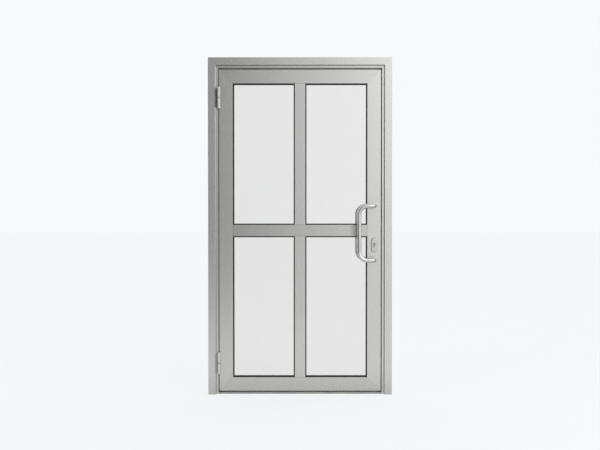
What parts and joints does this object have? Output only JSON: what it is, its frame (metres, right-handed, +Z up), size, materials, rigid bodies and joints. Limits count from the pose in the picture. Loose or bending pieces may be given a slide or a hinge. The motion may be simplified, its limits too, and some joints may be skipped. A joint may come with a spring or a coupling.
{
  "type": "aluminium entrance door with frame",
  "caption": "Glazed aluminium entrance door hung in its stepped frame, with glazing bars, bent tube pull handles, barrel hinges and a key cylinder lock.",
  "frame": {"origin": "on the floor, at the middle of the frame's width and of the leaf's thickness", "axes": "+Z up, +X to the right seen from the street side, +Y inwards, away from the street side"},
  "size_m": [1.2, 0.196, 2.2],
  "materials": {
    "frame_aluminium": "satin silver anodised extrusion",
    "leaf_aluminium": "satin silver anodised extrusion",
    "hinge_aluminium": "satin silver, smooth",
    "mill_aluminium": "mill finish, bare",
    "stainless": "brushed stainless steel",
    "zinc_steel": "zinc plated steel",
    "nickel": "satin nickel plate",
    "brass": "turned brass",
    "rubber": "matt black rubber",
    "nylon": "black nylon",
    "glass": "clear float glass"
  },
  "bodies": {
    "frame": {"hinge_jamb": "frame_aluminium", "lock_jamb": "frame_aluminium", "head": "frame_aluminium", "door_stops": "frame_aluminium", "threshold": "frame_aluminium", "frame_cleats": "mill_aluminium", "stop_seal": "rubber", "strike_plate": "stainless", "strike_screws": "zinc_steel", "threshold_screws": "zinc_steel", "fixing_caps": "nylon", "top_hinge_frame_flag": "hinge_aluminium", "bottom_hinge_frame_flag": "hinge_aluminium", "hinge_pins": "zinc_steel", "hinge_washers": "brass", "hinge_frame_screws": "zinc_steel"},
    "leaf": {"hinge_stile": "leaf_aluminium", "lock_stile": "leaf_aluminium", "top_rail": "leaf_aluminium", "bottom_rail": "leaf_aluminium", "mid_rail": "leaf_aluminium", "upper_mullion": "leaf_aluminium", "lower_mullion": "leaf_aluminium", "leaf_cleats": "mill_aluminium", "tee_connectors": "mill_aluminium", "glass_upper_left": "glass", "glass_upper_right": "glass", "glass_lower_left": "glass", "glass_lower_right": "glass", "spacer_frames": "mill_aluminium", "outer_gaskets": "rubber", "inner_gaskets": "rubber", "beads_upper_left": "leaf_aluminium", "beads_upper_right": "leaf_aluminium", "beads_lower_left": "leaf_aluminium", "beads_lower_right": "leaf_aluminium", "setting_blocks": "nylon", "bottom_brush": "nylon", "outside_handle": "stainless", "inside_handle": "stainless", "handle_plugs": "mill_aluminium", "handle_studs": "zinc_steel", "lock_case": "zinc_steel", "lock_faceplate": "stainless", "faceplate_screws": "zinc_steel", "cylinder_body": "nickel", "cylinder_screw": "zinc_steel", "outside_escutcheon": "stainless", "inside_escutcheon": "stainless", "top_hinge_leaf_flag": "hinge_aluminium", "bottom_hinge_leaf_flag": "hinge_aluminium", "hinge_leaf_screws": "zinc_steel", "latch_spring": "zinc_steel"},
    "bolt": {"deadbolt": "nickel"},
    "outside_key": {"outside_key_plug": "nickel", "lock_cam": "brass"},
    "inside_key": {"inside_key_plug": "nickel"},
    "latch": {"latch_slide": "zinc_steel"},
    "roller": {"latch_roller": "nylon"}
  },
  "joints": [
    {"name": "leaf_swing", "type": "hinge", "parent": "frame", "child": "leaf", "pos_m": [-0.532, -0.0365, 1], "axis": [0, 0, -1], "range_deg": [0, 110]},
    {"name": "outside_key_turn", "type": "hinge", "parent": "leaf", "child": "outside_key", "pos_m": [0.4845, 0, 0.985], "axis": [0, 1, 0], "range_deg": [0, 360]},
    {"name": "bolt_slide", "type": "slide", "parent": "leaf", "child": "bolt", "axis": [1, 0, 0], "range_m": [0, 0.02]},
    {"name": "inside_key_turn", "type": "hinge", "parent": "leaf", "child": "inside_key", "pos_m": [0.4845, 0, 0.985], "axis": [0, 1, 0], "range_deg": [0, 360]},
    {"name": "latch_press", "type": "slide", "parent": "leaf", "child": "latch", "axis": [1, 0, 0], "range_m": [-0.008, 0], "stiffness_N_per_m": 1200, "springref_m": 0.005, "deforming": ["latch_spring"]},
    {"name": "roller_spin", "type": "hinge", "parent": "latch", "child": "roller", "pos_m": [0.53, 0, 1.071], "axis": [0, 0, 1], "continuous": true}
  ],
  "couplings": [
    {"joint": "outside_key_turn", "follows": "bolt_slide", "rad_per_m": 314.15}
  ]
}
